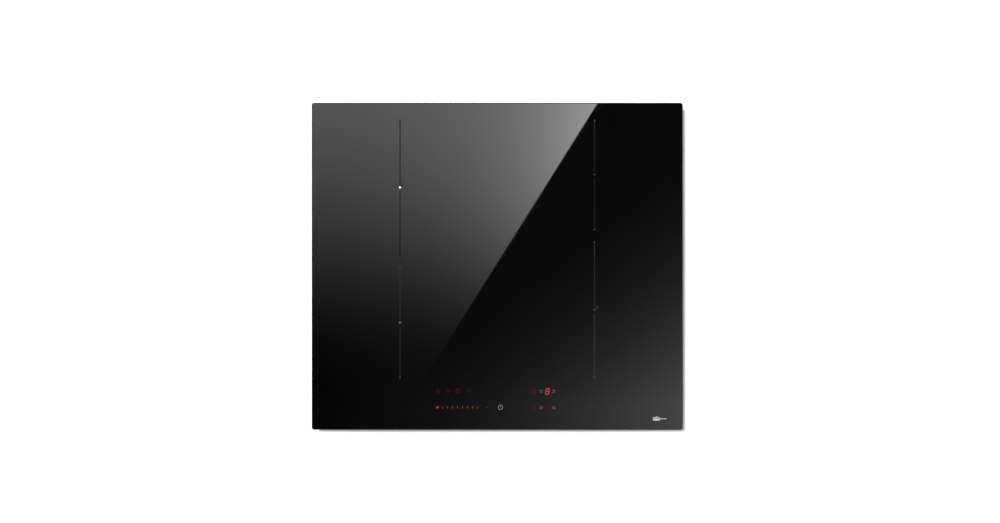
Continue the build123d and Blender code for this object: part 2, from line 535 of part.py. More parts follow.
with BuildPart() as housing:
    with BuildSketch(Plane.XY.offset(FAN_Z)):
        with Locations((FAN_X, FAN_Y)):
            RectangleRounded(FAN_SIDE, FAN_SIDE, 8)
    extrude(amount=FAN_H)
    # mounting tabs, and ribs that stiffen the top plate
    with BuildSketch(Plane.XY.offset(FAN_Z)):
        with Locations([(x, y + j * TAB_REACH / 2) for x, y, j in FAN_TABS]):
            Rectangle(TAB_X, TAB_REACH)
        with Locations(FAN_SCREWS):
            Circle(SCREW_R + HOLE_PLAY, mode=Mode.SUBTRACT)
    extrude(amount=TAB_T)
    with BuildSketch(Plane.XY.offset(FAN_Z + FAN_H)):
        with Locations((FAN_X, FAN_Y)):
            for ring in reversed(RIB_RINGS):
                Circle(ring)
                Circle(ring - RIB_W, mode=Mode.SUBTRACT)
            with PolarLocations(sum(RIB_RINGS) / 2 - RIB_W / 2, RIBS_ON_TOP):
                Rectangle(RIB_RINGS[1] - RIB_RINGS[0] - RIB_W + 0.2, RIB_W)
    extrude(amount=RIB_H)
    with BuildSketch(Plane.XY.offset(FAN_Z + FAN_WALL)):
        with Locations((FAN_X, FAN_Y)):
            Circle(FAN_BORE_R)
            Rectangle(2 * FAN_SIDE, OUTLET_W)
    extrude(amount=FAN_H - 2 * FAN_WALL, mode=Mode.SUBTRACT)
    with BuildSketch(Plane.XY.offset(FAN_Z)):
        with Locations((FAN_X, FAN_Y)):
            Circle(INTAKE_R)
    extrude(amount=FAN_WALL, mode=Mode.SUBTRACT)
save(housing, "fan_housing")

FAN_TOP = FAN_Z + FAN_H - FAN_WALL
WHEEL_TOP = WHEEL_Z + WHEEL_H
STATOR_R = CUP_R - CUP_WALL - STATOR_GAP
with BuildPart() as motor:
    with BuildSketch(Plane.XY.offset(FAN_TOP - 1.5)):
        with Locations((FAN_X, FAN_Y)):
            Circle(CUP_R + 3)
    extrude(amount=1.5)
    with BuildSketch(Plane.XY.offset(WHEEL_Z + CUP_WALL + 1)):
        with Locations((FAN_X, FAN_Y)):
            Circle(STATOR_R)
    extrude(until=Until.NEXT)
    with BuildSketch(Plane.XY.offset(WHEEL_Z)):
        with Locations((FAN_X, FAN_Y)):
            Circle(SHAFT_R + SHAFT_CLEAR)
    extrude(amount=WHEEL_H - 1, mode=Mode.SUBTRACT)
save(motor, "fan_motor")

with BuildPart() as wheel:
    with BuildSketch(Plane.XY.offset(WHEEL_Z)):
        with Locations((FAN_X, FAN_Y)):
            Circle(CUP_R)
    extrude(amount=WHEEL_H)
    with BuildSketch(Plane.XY.offset(WHEEL_Z + CUP_WALL)):
        with Locations((FAN_X, FAN_Y)):
            Circle(CUP_R - CUP_WALL)
            Circle(SHAFT_R, mode=Mode.SUBTRACT)
    extrude(amount=WHEEL_H, mode=Mode.SUBTRACT)
    with BuildSketch(Plane.XY.offset(WHEEL_TOP - 2)):
        with Locations((FAN_X, FAN_Y)):
            Circle(SHAFT_R + 1)
    extrude(amount=2, mode=Mode.SUBTRACT)
    with BuildSketch(Plane.XY.offset(WHEEL_TOP - 1.2)):
        with Locations((FAN_X, FAN_Y)):
            Circle(WHEEL_R)
            Circle(CUP_R - 0.5, mode=Mode.SUBTRACT)
    extrude(amount=1.2)
    with BuildSketch(Plane.XY.offset(WHEEL_Z)):
        with Locations((FAN_X, FAN_Y)):
            with PolarLocations(WHEEL_R - 6.5, BLADES):
                Rectangle(14, 1.1, rotation=35)
    extrude(amount=WHEEL_H - 1)
    with BuildSketch(Plane.XY.offset(WHEEL_Z)):
        with Locations((FAN_X, FAN_Y)):
            Circle(WHEEL_R)
            Circle(WHEEL_R - 3.5, mode=Mode.SUBTRACT)
    extrude(amount=1)
save(wheel, "fan_wheel")


# Touch controls

with BuildPart() as carrier:
    with BuildSketch(Plane.XY.offset(CARRIER_Z)):
        with Locations((0, CARRIER_Y_MID)):
            RectangleRounded(CARRIER_X, CARRIER_Y, 3)
    extrude(amount=CARRIER_TOP - CARRIER_Z)
    with BuildSketch(Plane.XY.offset(CARRIER_Z + CARRIER_WALL)):
        with Locations((0, CARRIER_Y_MID)):
            RectangleRounded(CARRIER_X - 2 * CARRIER_WALL, CARRIER_Y - 2 * CARRIER_WALL, 2)
    extrude(amount=CARRIER_TOP, mode=Mode.SUBTRACT)
    with BuildSketch(Plane.XY.offset(CARRIER_Z + CARRIER_WALL)):
        with Locations((0, CARRIER_Y_MID)):
            with GridLocations(CARRIER_X - 2 * STUD_IN, CARRIER_Y - 2 * STUD_IN, 2, 2):
                Circle(STUD_R)
    extrude(amount=TOUCH_BOARD_Z - CARRIER_Z - CARRIER_WALL)
    with BuildSketch(Plane.XY.offset(SHEET)):
        with Locations((0, CARRIER_Y_MID)):
            with GridLocations(CARRIER_X - CARRIER_LEG_X - 2, 1, 2, 1):
                Rectangle(CARRIER_LEG_X, CARRIER_LEG_Y)
                Rectangle(CARRIER_LEG_X - 4, CARRIER_LEG_Y - 4, mode=Mode.SUBTRACT)
    extrude(amount=CARRIER_Z - SHEET)
save(carrier, "control_carrier")

with BuildPart() as touch_board:
    with BuildSketch(Plane.XY.offset(TOUCH_BOARD_Z)):
        with Locations((0, CARRIER_Y_MID)):
            gap = 2 * (CARRIER_WALL + 0.4)
            RectangleRounded(CARRIER_X - gap, CARRIER_Y - gap, 1.5)
    extrude(amount=BOARD_T)
save(touch_board, "touch_board")

TOUCH_TOP = TOUCH_BOARD_Z + BOARD_T
with BuildPart() as digits:
    with BuildSketch(Plane.XY.offset(TOUCH_TOP)):
        with Locations([(x, y) for x in DIGITS_X for y in (KEY_ROW_BACK_Y, KEY_ROW_FRONT_Y)]):
            Rectangle(DIGIT_X, DIGIT_Y)
    extrude(amount=DIGIT_H)
save(digits, "digit_displays")

KEYS = [(x, KEY_ROW_BACK_Y) for x in MODE_KEYS_X]
KEYS += [(SLIDER_START_X + i * SLIDER_PITCH, KEY_ROW_FRONT_Y) for i in range(SLIDER_KEYS)]
KEYS += [(POWER_KEY_X, KEY_ROW_FRONT_Y)]
KEYS += [(x, y) for x in ZONE_KEYS_X for y in (KEY_ROW_BACK_Y, KEY_ROW_FRONT_Y)]
with BuildPart() as pads:
    with BuildSketch(Plane.XY.offset(TOUCH_TOP)):
        with Locations(KEYS):
            Circle(PAD_R)
    extrude(amount=GLASS_Z - TOUCH_TOP, taper=6)
save(pads, "touch_pads")


# Mains terminal box, its hinged cover, the terminal block and the cable grommet

BOX_BACK = BOX_AT[1] + BOX_Y / 2
with BuildPart() as terminal_box:
    with BuildSketch(Plane.XY.offset(SHEET)):
        with Locations(BOX_AT):
            RectangleRounded(BOX_X, BOX_Y, 3)
    extrude(amount=BOX_H)
    with BuildSketch(Plane.XY.offset(SHEET)):
        with Locations(BOX_AT):
            RectangleRounded(BOX_X - 2 * BOX_WALL, BOX_Y - 2 * BOX_WALL, 1.5)
    extrude(amount=BOX_H - BOX_WALL, mode=Mode.SUBTRACT)
    with BuildSketch(Plane.YZ.offset(BOX_AT[0] - BOX_X / 2 + BOX_WALL / 2)):
        with Locations((HINGE_Y, HINGE_EAR_Z)):
            Rectangle(HINGE_EAR_Y, HINGE_EAR_H)
    extrude(amount=EAR_X + BOX_WALL / 2)
    with BuildSketch(Plane.YZ.offset(BOX_AT[0] + BOX_X / 2 - BOX_WALL / 2)):
        with Locations((HINGE_Y, HINGE_EAR_Z)):
            Rectangle(HINGE_EAR_Y, HINGE_EAR_H)
    extrude(amount=-EAR_X - BOX_WALL / 2)
    with BuildSketch(Plane.YZ.offset(BOX_AT[0])):
        with Locations((HINGE_Y, HINGE_Z)):
            Circle(HINGE_PIN_R + HINGE_CLEAR)
    extrude(amount=BOX_X / 2 - BOX_WALL + 0.5, both=True, mode=Mode.SUBTRACT)
    with BuildSketch(Plane.XZ.offset(-BOX_BACK)):
        with Locations((INLET_X, INLET_Z)):
            Circle(GROMMET_R + GROMMET_PLAY)
    extrude(amount=2 * BOX_WALL, mode=Mode.SUBTRACT)
save(terminal_box, "terminal_box")

COVER_X = PORT_X - 2 * COVER_SIDE_GAP
COVER_BACK = BOX_AT[1] + PORT_Y / 2 - COVER_SIDE_GAP
with BuildPart() as cover:
    with BuildSketch(Plane.XY.offset(COVER_Z)):
        with Locations((BOX_AT[0], (HINGE_Y + COVER_BACK) / 2)):
            Rectangle(COVER_X, COVER_BACK - HINGE_Y)
    extrude(amount=COVER_T)
    with BuildSketch(Plane.YZ.offset(BOX_AT[0])):
        with Locations((HINGE_Y, HINGE_Z)):
            Circle(HINGE_R)
    extrude(amount=COVER_X / 2, both=True)
    with BuildSketch(Plane.YZ.offset(BOX_AT[0])):
        with Locations((HINGE_Y, HINGE_Z)):
            Circle(HINGE_PIN_R)
    extrude(amount=COVER_X / 2 + PIN_REACH, both=True)
    with BuildSketch(Plane.XY.offset(COVER_Z + COVER_T)):
        with Locations((BOX_AT[0], COVER_BACK - LATCH_Y / 2)):
            with GridLocations(LATCH_PITCH, 1, 2, 1):
                Rectangle(LATCH_X, LATCH_Y)
    extrude(amount=LATCH_H)
save(cover, "terminal_cover")

BLOCK_X, BLOCK_Y, BLOCK_H, BLOCK_MID_Y = 64.0, 18.0, 12.0, BOX_AT[1] - 8.0
POLES, POLE_PITCH, POLE_ROWS_Y, POLE_R, POLE_DEPTH = 5, 12.0, 9.0, 2.6, 4.0
BLOCK_TOP = SHEET + BOX_H - BOX_WALL
with BuildPart() as block:
    with BuildSketch(Plane.XY.offset(BLOCK_TOP - BLOCK_H)):
        with Locations((BOX_AT[0], BLOCK_MID_Y)):
            RectangleRounded(BLOCK_X, BLOCK_Y, 1)
    extrude(amount=BLOCK_H)
    with BuildSketch(Plane.XY.offset(BLOCK_TOP - BLOCK_H)):
        with Locations((BOX_AT[0], BLOCK_MID_Y)):
            with GridLocations(POLE_PITCH, POLE_ROWS_Y, POLES, 2):
                Circle(POLE_R)
    extrude(amount=POLE_DEPTH, mode=Mode.SUBTRACT)
save(block, "terminal_block")

with BuildPart() as grommet:
    with BuildSketch(Plane(origin=(INLET_X, 0, INLET_Z), x_dir=(0, 1, 0), z_dir=(1, 0, 0))):
        with BuildLine():
            inside, outside = BOX_BACK - BOX_WALL - GROMMET_PLAY, TRAY_Y / 2 + GROMMET_PLAY
            inner_face, outer_face = inside - GROMMET_FLANGE_T, outside + GROMMET_LIP_T
            Polyline(
                (inner_face, INLET_R), (inner_face, GROMMET_FLANGE_R), (inside, GROMMET_FLANGE_R),
                (inside, GROMMET_R), (outside, GROMMET_R), (outside, GROMMET_FLANGE_R),
                (outside + 1, GROMMET_FLANGE_R), (outer_face, INLET_R + 2), (outer_face, INLET_R), close=True,
            )
        make_face()
    revolve(axis=Axis((INLET_X, 0, INLET_Z), (0, 1, 0)))
save(grommet, "cable_grommet")


# Wiring: mains wires from the terminal box to the filter board, and on to the two power boards

WIRE_R = 1.4
RUNS = [
    [(166.5, y, 20.0), (150.0, y, 20.0), (120.0, y, 12.0), (75.0, y + 4, 12.0), (54.0, y + 4, 11.0)]
    for y in (196.0, 202.0, 208.0)
]
RUNS += [
    [(sign * 46.0, 130.0, 11.0), (sign * 66.0, 126.0, 11.0), (sign * 82.0, 108.0, 11.0)] for sign in (-1, 1)
]
with BuildPart() as wiring:
    for points in RUNS:
        with BuildLine() as route:
            FilletPolyline(*points, radius=5)
        with BuildSketch(Plane(origin=route.line @ 0, z_dir=route.line % 0)):
            Circle(WIRE_R)
        sweep()
save(wiring, "mains_wiring")
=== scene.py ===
import json
import math

import bmesh
import bpy
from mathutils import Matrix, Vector


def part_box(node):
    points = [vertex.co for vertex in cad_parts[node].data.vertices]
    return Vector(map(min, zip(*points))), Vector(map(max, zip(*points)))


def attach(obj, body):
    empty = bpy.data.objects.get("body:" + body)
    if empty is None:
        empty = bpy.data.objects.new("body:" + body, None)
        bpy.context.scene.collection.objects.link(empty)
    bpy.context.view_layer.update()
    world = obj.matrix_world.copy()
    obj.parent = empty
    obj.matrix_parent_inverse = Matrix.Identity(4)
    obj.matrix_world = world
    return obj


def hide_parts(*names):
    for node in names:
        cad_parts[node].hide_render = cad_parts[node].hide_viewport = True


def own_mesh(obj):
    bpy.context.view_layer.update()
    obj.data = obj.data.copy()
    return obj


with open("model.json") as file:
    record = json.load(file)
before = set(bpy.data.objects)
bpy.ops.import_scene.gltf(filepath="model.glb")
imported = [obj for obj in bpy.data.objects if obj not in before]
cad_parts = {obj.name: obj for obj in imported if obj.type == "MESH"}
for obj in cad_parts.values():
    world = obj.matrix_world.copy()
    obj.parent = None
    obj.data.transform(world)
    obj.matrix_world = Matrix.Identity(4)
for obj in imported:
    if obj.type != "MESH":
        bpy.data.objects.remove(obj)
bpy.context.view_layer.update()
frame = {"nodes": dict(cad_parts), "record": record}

# Everything is in metres, in the frame of the CAD model: +X right, +Y back, +Z up.
MM = 0.001
GLASS_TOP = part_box("glass_ceramic_plate")[1].z
BODY = "hob"
ZONES = ("left_rear", "left_front", "right_rear", "right_front")

# Camera: straight down from far above, a little to the back and the right of the cooktop's middle
CAMERA_LENS, CAMERA_SENSOR = 100.0, 36.0
VIEW_WIDTH = 1.590
CAMERA_HEIGHT = VIEW_WIDTH * CAMERA_LENS / CAMERA_SENSOR
CAMERA_X, CAMERA_Y = 4.35 * MM, 7.6 * MM

# Cooking zone marks: two columns of two, nearly as long as the zones are wide, and open around the centre dot
ZONE_X = 154.6 * MM
MARK_W, GAP_BEHIND, GAP_BEFORE, END_DOT_R, CENTRE_DOT_R = 1.8 * MM, 4.8 * MM, 7.2 * MM, 1.25 * MM, 1.7 * MM

LARGE_TICK, LARGE_TICK_W = ((2.4 * MM, 2.3 * MM), (4.7 * MM, 4.6 * MM)), 1.5 * MM

# Touch controls
BACK_ROW_Y, FRONT_ROW_Y = -198.9 * MM, -224.6 * MM
MODE_KEYS_X, MODE_KEYS_Y = (-94 * MM, -78.3 * MM, -62.6 * MM, -45.5 * MM), -198.2 * MM
SLIDER_X, SLIDER_Y, SLIDER_PITCH, SLIDER_TICKS = -87.3 * MM, -224.3 * MM, 8 * MM, 8
SLIDER_TICK_H, SLIDER_TICK_W, SLIDER_END_AT, SLIDER_HALO_AT = 2.8 * MM, 0.75 * MM, 8.87, 3.8
POWER_X, POWER_Y, POWER_R = 5.1 * MM, -224.1 * MM, 3.5 * MM
ZONE_KEYS_X, DIGITS_X = (70 * MM, 89.6 * MM), (58.2 * MM, 79.8 * MM)
DIGIT_H, DIGIT_W, DIGIT_SLANT, SEGMENT_W = 8.9 * MM, 4.9 * MM, 0.19, 1.35 * MM

# Halos: how far one reaches past a digit, and the width and height of the others
DIGIT_HALO, KEY_HALO = 6.5 * MM, (9.5 * MM, 9.6 * MM)
START_HALO, SLIDER_HALO = (8.4 * MM, 8.5 * MM), (65 * MM, 8.5 * MM)

# Printed and lit marks are thin closed slabs that stand a hair proud of the glass
PRINT_SINK, PRINT_RISE, HALO_RISE = 0.02 * MM, 0.03 * MM, 0.01 * MM


# ---------------------------------------------------------------- mesh helpers


def new_object(name, bm, material):
    """Turns a finished bmesh into an object of one material."""
    mesh = bpy.data.meshes.new(name)
    bm.to_mesh(mesh)
    bm.free()
    mesh.materials.append(material)
    made = bpy.data.objects.new(name, mesh)
    bpy.context.collection.objects.link(made)
    return made


class Marks:
    """Collects flat outlines and makes them one object of closed slabs on the glass."""

    def __init__(self):
        self.outlines = []

    def outline(self, points):
        self.outlines.append([Vector((x, y)) for x, y in points])

    def disc(self, x, y, radius, sides=32):
        turn = [2 * math.pi * i / sides for i in range(sides)]
        self.outline([(x + radius * math.cos(t), y + radius * math.sin(t)) for t in turn])

    def bar(self, start, end, width, rounded=True):
        a, b = Vector(start), Vector(end)
        along = (b - a).normalized()
        side = Vector((-along.y, along.x)) * width / 2
        if not rounded:
            self.outline([a - side, b - side, b + side, a + side])
            return
        points, steps = [], 6
        for centre, sign in ((b, 1), (a, -1)):
            for i in range(steps + 1):
                t = math.pi * (i / steps - 0.5)
                points.append(centre + sign * (along * math.cos(t) * width / 2 + side * math.sin(t)))
        self.outline(points)

    def arc(self, x, y, radius, width, start=0.0, end=360.0, step=12.0):
        """A stretch of ring, in quads that share no faces, from start to end in degrees."""
        count = max(2, round((end - start) / step))
        angles = [math.radians(start + (end - start) * i / count) for i in range(count + 1)]
        edges = (radius + width / 2, radius - width / 2)
        outer, inner = ([(x + r * math.cos(t), y + r * math.sin(t)) for t in angles] for r in edges)
        if end - start >= 359.9:
            half = count // 2
            self.outline(outer[: half + 1] + inner[: half + 1][::-1])
            self.outline(outer[half:] + inner[half:][::-1])
        else:
            self.outline(outer + inner[::-1])

    def frame(self, x, y, width, height, line):
        w, h = width / 2, height / 2
        for sign in (-1, 1):
            self.bar((x - w, y + sign * h), (x + w, y + sign * h), line)
            self.bar((x + sign * w, y - h + line), (x + sign * w, y + h - line), line, rounded=False)

    def make(self, name, material, rise=PRINT_RISE):
        bm = bmesh.new()
        for points in self.outlines:
            low = [bm.verts.new((p.x, p.y, GLASS_TOP - PRINT_SINK)) for p in points]
            high = [bm.verts.new((p.x, p.y, GLASS_TOP + rise)) for p in points]
            bm.faces.new(low[::-1])
            bm.faces.new(high)
            for i in range(len(points)):
                j = (i + 1) % len(points)
                bm.faces.new((low[i], low[j], high[j], high[i]))
        bmesh.ops.recalc_face_normals(bm, faces=bm.faces)
        bmesh.ops.triangulate(bm, faces=[f for f in bm.faces if len(f.verts) > 4])
        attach(new_object(name, bm, material), BODY)


# ---------------------------------------------------------------- material helpers


class Shader:
    """A node material with a few short ways to wire it."""

    def __init__(self, name):
        self.material = bpy.data.materials.new(name)
        self.material.use_nodes = True
        self.tree = self.material.node_tree
        self.surface = self.tree.nodes["Principled BSDF"]
        self.place = self.node("ShaderNodeTexCoord").outputs["Object"]

    def node(self, kind, **settings):
        made = self.tree.nodes.new(kind)
        for key, value in settings.items():
            setattr(made, key, value)
        return made

    def link(self, source, target):
        self.tree.links.new(source, target)

    def set(self, **values):
        for key, value in values.items():
            self.surface.inputs[key.replace("_", " ")].default_value = value

    def stretched(self, scale):
        mapping = self.node("ShaderNodeMapping")
        mapping.inputs["Scale"].default_value = scale
        self.link(self.place, mapping.inputs["Vector"])
        return mapping.outputs["Vector"]

    def noise(self, scale, detail=3.0, rough=0.55, at=None):
        made = self.node("ShaderNodeTexNoise")
        made.inputs["Scale"].default_value = scale
        made.inputs["Detail"].default_value = detail
        made.inputs["Roughness"].default_value = rough
        self.link(at or self.place, made.inputs["Vector"])
        return made.outputs["Fac"]

    def cells(self, scale, output="Color"):
        made = self.node("ShaderNodeTexVoronoi")
        made.inputs["Scale"].default_value = scale
        self.link(self.place, made.inputs["Vector"])
        return made.outputs[output]

    def ramp(self, source, *stops):
        made = self.node("ShaderNodeValToRGB")
        while len(made.color_ramp.elements) < len(stops):
            made.color_ramp.elements.new(0.5)
        for element, (place, colour) in zip(made.color_ramp.elements, stops):
            element.position = place
            element.color = (*colour, 1) if isinstance(colour, tuple) else (colour, colour, colour, 1)
        self.link(source, made.inputs["Fac"])
        return made.outputs["Color"]

    def math(self, operation, a, b=None, c=None, clamp=False):
        made = self.node("ShaderNodeMath", operation=operation, use_clamp=clamp)
        for socket, value in zip(made.inputs, (a, b, c)):
            if isinstance(value, (int, float)):
                socket.default_value = value
            elif value is not None:
                self.link(value, socket)
        return made.outputs["Value"]

    def mix(self, factor, a, b, blend="MIX"):
        made = self.node("ShaderNodeMix", data_type="RGBA", blend_type=blend)
        for socket, value in ((made.inputs[0], factor), (made.inputs[6], a), (made.inputs[7], b)):
            if isinstance(value, (int, float)):
                socket.default_value = value
            elif isinstance(value, tuple):
                socket.default_value = (*value, 1)
            else:
                self.link(value, socket)
        return made.outputs[2]

    def bump(self, height, strength, distance):
        made = self.node("ShaderNodeBump")
        made.inputs["Strength"].default_value = strength
        made.inputs["Distance"].default_value = distance
        self.link(height, made.inputs["Height"])
        self.link(made.outputs["Normal"], self.surface.inputs["Normal"])

    def edges(self):
        """1 along convex edges, 0 elsewhere."""
        pointy = self.node("ShaderNodeNewGeometry").outputs["Pointiness"]
        return self.ramp(pointy, (0.52, 0.0), (0.62, 1.0))

    def colour(self, value):
        self.link(value, self.surface.inputs["Base Color"])

    def rough(self, value):
        self.link(value, self.surface.inputs["Roughness"])


# ---------------------------------------------------------------- materials


def black_glass():
    """Body-tinted glass ceramic: nearly black, mirror polished, with a satin ground edge."""
    s = Shader("black_glass")
    normal = s.node("ShaderNodeSeparateXYZ")
    s.link(s.node("ShaderNodeNewGeometry").outputs["Normal"], normal.inputs[0])
    up = s.math("ABSOLUTE", normal.outputs["Z"])
    edge = s.ramp(up, (0.80, 1.0), (0.97, 0.0))
    tint = s.ramp(s.noise(9, 4), (0.3, (0.0009, 0.0008, 0.0008)), (0.7, (0.0014, 0.0013, 0.0012)))
    ground = s.ramp(s.noise(900, 2), (0.3, 0.0025), (0.7, 0.005))
    s.colour(s.mix(edge, tint, ground))
    film = s.ramp(s.noise(14, 5, 0.6), (0.45, 0.008), (0.75, 0.016))
    s.rough(s.mix(edge, film, s.ramp(s.noise(700, 2), (0.3, 0.16), (0.7, 0.26))))
    s.set(IOR=1.52)
    # the ground edge scatters what the polished face would mirror
    s.link(s.math("SUBTRACT", 0.5, s.math("MULTIPLY", edge, 0.42)), s.surface.inputs["Specular IOR Level"])
    return s.material


def print_ink(name, grey, rough, ior):
    """Ceramic ink fired onto the glass: slightly grainy, and a weaker mirror than the glass."""
    s = Shader(name)
    s.colour(s.ramp(s.noise(2600, 2), (0.25, grey * 0.82), (0.75, grey * 1.18)))
    s.rough(s.ramp(s.noise(1500, 2), (0.3, rough * 0.85), (0.7, rough * 1.15)))
    s.set(IOR=ior)
    return s.material


def lit_mark(name, colour, strength):
    """A light seen through the glass, dimmed a little in a fine grain."""
    s = Shader(name)
    grain = s.ramp(s.noise(1800, 2), (0.2, 0.86), (0.8, 1.0))
    s.link(s.mix(1.0, grain, colour, "MULTIPLY"), s.surface.inputs["Emission Color"])
    s.colour(s.mix(1.0, grain, (0.01, 0.002, 0.003), "MULTIPLY"))
    s.set(Emission_Strength=strength, Roughness=0.08, IOR=1.3)
    return s.material


def halo(name, colour, strength):
    """Light scattered in the glass around a lit mark: brightest in the middle, gone at the rim."""
    s = Shader(name)
    whole = s.node("ShaderNodeTexCoord").outputs["Generated"]
    centred = s.node("ShaderNodeMapping")
    centred.inputs["Location"].default_value = (-1, -1, 0)
    centred.inputs["Scale"].default_value = (2, 2, 0)
    s.link(whole, centred.inputs["Vector"])
    split = s.node("ShaderNodeSeparateXYZ")
    s.link(centred.outputs["Vector"], split.inputs[0])
    across, along = (s.math("POWER", s.math("ABSOLUTE", split.outputs[axis]), 3.0) for axis in "XY")
    fade = s.ramp(s.math("ADD", across, along), (0.0, 1.0), (1.0, 0.0))
    cloud = s.ramp(s.noise(300, 3), (0.2, 0.8), (0.8, 1.0))
    light = s.mix(1.0, fade, cloud, "MULTIPLY")
    s.link(s.mix(1.0, light, colour, "MULTIPLY"), s.surface.inputs["Emission Color"])
    s.colour(s.mix(1.0, cloud, (0.0011, 0.0010, 0.0010), "MULTIPLY"))
    s.set(Emission_Strength=strength, Roughness=0.012, IOR=1.52)
    return s.material


def galvanised_steel():
    """Hot-dip galvanised sheet: zinc spangle, a faint rolling grain, stains and fine scratches."""
    s = Shader("galvanised_steel")
    tone = s.ramp(s.cells(150), (0.0, (0.16, 0.165, 0.175)), (1.0, (0.29, 0.30, 0.31)))
    grain = s.noise(60, 3, at=s.stretched((1, 1, 30)))
    stain = s.ramp(s.noise(7, 5, 0.65), (0.35, 0.86), (0.65, 1.0))
    tone = s.mix(1.0, tone, stain, "MULTIPLY")
    scratch = s.ramp(s.noise(38, 2, at=s.stretched((0.6, 6, 14))), (0.66, 0.0), (0.70, 1.0))
    s.colour(s.mix(scratch, tone, (0.36, 0.37, 0.38)))
    s.rough(s.math("MULTIPLY_ADD", grain, 0.16, 0.30))
    s.bump(s.noise(420, 3), 0.12, 0.0004)
    s.set(Metallic=0.85)
    return s.material


def bare_metal(name, low, high, rough, grain=(1, 1, 1), scale=300, edge=0.5):
    """Rolled, plated or sprung metal with a directional grain, between two greys, and a painted highlight
    along its convex edges.
    """
    s = Shader(name)
    streak = s.noise(scale, 3, at=s.stretched(grain))
    # convex edges are painted in the lighter edge colour: a painted highlight
    s.colour(s.mix(s.edges(), s.ramp(streak, (0.3, low), (0.7, high)), (edge, edge, edge * 1.01)))
    s.rough(s.ramp(streak, (0.2, rough * 0.75), (0.8, rough * 1.3)))
    s.bump(streak, 0.1, 0.0002)
    s.set(Metallic=1.0)
    return s.material


def moulded(name, base, rough=0.5, edge_highlight_gain=1.5, scale=900, sheen=0.0):
    """Moulded plastic or rubber with a fine spark-eroded grain and a painted highlight along its convex
    edges.
    """
    s = Shader(name)
    dark, light = tuple(c * 0.85 for c in base), tuple(min(1, c * 1.15) for c in base)
    tone = s.ramp(s.noise(30, 4), (0.3, dark), (0.7, light))
    # the convex edges are painted lighter than the base: a painted highlight
    s.colour(s.mix(s.edges(), tone, tuple(min(1, c * edge_highlight_gain) for c in base)))
    s.rough(s.ramp(s.noise(scale, 2), (0.25, rough * 0.85), (0.75, min(1, rough * 1.15))))
    s.bump(s.noise(scale, 3), 0.18, 0.0003)
    if sheen:
        s.set(Sheen_Weight=sheen)
    return s.material


def foam():
    """Closed-cell foam tape: tiny pits with painted shade in their hollows, and a dull surface."""
    s = Shader("seal_foam")
    pits_and_painted_shade = s.cells(1100, output="Distance")
    # the colour darkens towards the middle of each pit, where the bump sinks: painted shade
    s.colour(s.ramp(pits_and_painted_shade, (0.05, (0.008, 0.008, 0.008)), (0.5, (0.030, 0.030, 0.032))))
    s.rough(s.ramp(s.noise(200, 3), (0.3, 0.85), (0.7, 0.97)))
    s.bump(pits_and_painted_shade, 0.5, 0.0006)
    return s.material


def fibre_mat():
    """Pressed ceramic fibre: short pale fibres lying every way."""
    s = Shader("fibre_mat")
    fibres = s.noise(260, 6, 0.75, at=s.stretched((1, 3, 1)))
    s.colour(s.ramp(fibres, (0.3, (0.62, 0.60, 0.54)), (0.7, (0.86, 0.85, 0.80))))
    s.rough(s.ramp(fibres, (0.3, 0.85), (0.7, 1.0)))
    s.bump(fibres, 0.4, 0.0006)
    return s.material


def circuit_board():
    """Green solder mask over copper tracks, with bright pads between them."""
    s = Shader("circuit_board")
    tracks = s.node("ShaderNodeTexBrick")
    tracks.inputs["Scale"].default_value = 90
    tracks.inputs["Mortar Size"].default_value = 0.06
    s.link(s.place, tracks.inputs["Vector"])
    mask = s.mix(tracks.outputs["Fac"], (0.012, 0.075, 0.028), (0.03, 0.16, 0.05))
    pads = s.ramp(s.cells(220, output="Distance"), (0.10, 1.0), (0.14, 0.0))
    s.colour(s.mix(pads, mask, (0.62, 0.60, 0.52)))
    s.rough(s.ramp(s.noise(120, 3), (0.3, 0.28), (0.7, 0.42)))
    s.bump(tracks.outputs["Fac"], 0.2, 0.0002)
    return s.material


def copper_wire():
    """Enamelled copper strands: a fine twist over a warm red-brown lacquer."""
    s = Shader("copper_wire")
    twist = s.node("ShaderNodeTexWave", bands_direction="DIAGONAL")
    twist.inputs["Scale"].default_value = 260
    twist.inputs["Distortion"].default_value = 2.5
    s.link(s.place, twist.inputs["Vector"])
    s.colour(s.ramp(twist.outputs["Fac"], (0.1, (0.28, 0.085, 0.035)), (0.9, (0.66, 0.27, 0.13))))
    s.rough(s.ramp(s.noise(300, 3), (0.3, 0.26), (0.7, 0.42)))
    s.bump(twist.outputs["Fac"], 0.4, 0.0004)
    s.set(Metallic=0.8, Coat_Weight=0.5, Coat_Roughness=0.2)
    return s.material


def ferrite():
    """Sintered ferrite: dark grey and dense, with a painted highlight along its convex edges."""
    s = Shader("ferrite")
    grain = s.noise(1400, 4)
    # the convex edges are painted pale grey: a painted highlight
    s.colour(s.mix(s.edges(), s.ramp(grain, (0.3, 0.035), (0.7, 0.075)), (0.16, 0.16, 0.17)))
    s.rough(s.ramp(grain, (0.3, 0.5), (0.7, 0.7)))
    s.bump(grain, 0.3, 0.0003)
    return s.material


